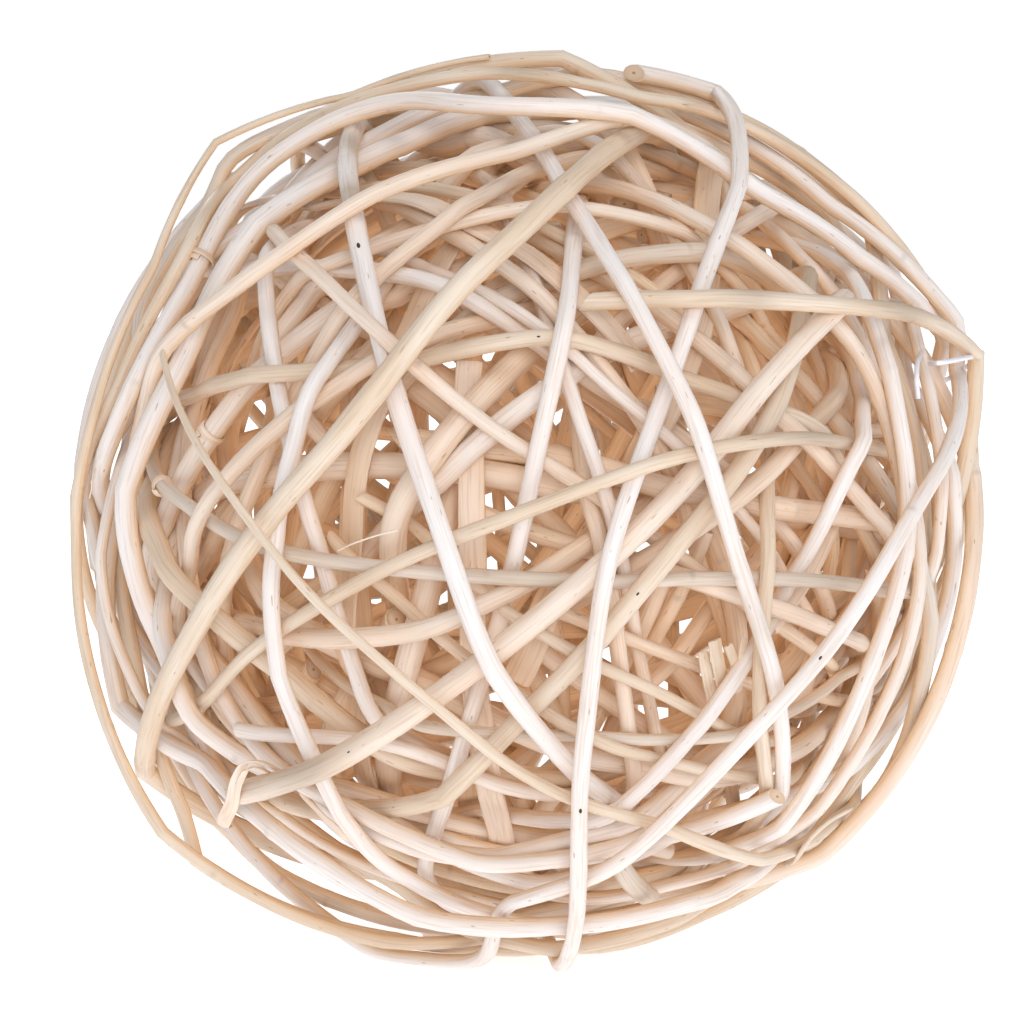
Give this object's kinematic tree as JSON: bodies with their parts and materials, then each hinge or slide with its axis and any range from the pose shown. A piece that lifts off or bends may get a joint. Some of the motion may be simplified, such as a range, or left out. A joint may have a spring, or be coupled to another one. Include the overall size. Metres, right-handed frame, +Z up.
{
  "type": "decorative willow ball",
  "caption": "Hollow decorative ball randomly woven of peeled pale willow rods, bound at one side with a small wire tie, resting on a slightly flattened underside.",
  "frame": {"origin": "on the floor, under the middle of the ball's bounding box", "axes": "+Z up; -Y towards the pictured front; +X to the right as seen from the front"},
  "size_m": [0.2972, 0.2958, 0.2954],
  "materials": {
    "peeled_willow": "bare peeled willow, matt with a slight sheen",
    "white_wire_coating": "white plastic-coated wire"
  },
  "bodies": {
    "root": {"back_rod_1": "peeled_willow", "back_rod_10": "peeled_willow", "back_rod_2": "peeled_willow", "back_rod_3": "peeled_willow", "back_rod_4": "peeled_willow", "back_rod_5": "peeled_willow", "back_rod_6": "peeled_willow", "back_rod_7": "peeled_willow", "back_rod_8": "peeled_willow", "back_rod_9": "peeled_willow", "base_hoop": "peeled_willow", "bent_right": "peeled_willow", "bright_left": "peeled_willow", "bright_sweep": "peeled_willow", "brow_bend": "peeled_willow", "brow_fall": "peeled_willow", "brow_level": "peeled_willow", "brow_rise": "peeled_willow", "cheek_rise": "peeled_willow", "crook": "peeled_willow", "cross_level": "peeled_willow", "crown_peak": "peeled_willow", "crown_slant": "peeled_willow", "crown_slip": "peeled_willow", "deep_level": "peeled_willow", "deep_slant": "peeled_willow", "deep_upright": "peeled_willow", "inner_right": "peeled_willow", "left_bow": "peeled_willow", "left_slant": "peeled_willow", "left_stub": "peeled_willow", "left_upright": "peeled_willow", "level_right": "peeled_willow", "long_diagonal": "peeled_willow", "long_rise": "peeled_willow", "loose_left": "peeled_willow", "low_level": "peeled_willow", "low_slant": "peeled_willow", "lower_hoop": "peeled_willow", "lower_inner_hoop": "peeled_willow", "outer_hoop": "peeled_willow", "outer_right": "peeled_willow", "outer_shoulder": "peeled_willow", "right_bow": "peeled_willow", "right_rise": "peeled_willow", "right_upright": "peeled_willow", "rising_right": "peeled_willow", "second_rise": "peeled_willow", "shoulder_slant": "peeled_willow", "slender_upright": "peeled_willow", "steep_right": "peeled_willow", "stub": "peeled_willow", "tapered_sweep": "peeled_willow", "thin_level": "peeled_willow", "tie_wire": "white_wire_coating", "tipped_bright": "peeled_willow", "top_hoop": "peeled_willow", "upper_level": "peeled_willow", "upper_rise": "peeled_willow", "upright_bow": "peeled_willow"}
  },
  "joints": []
}
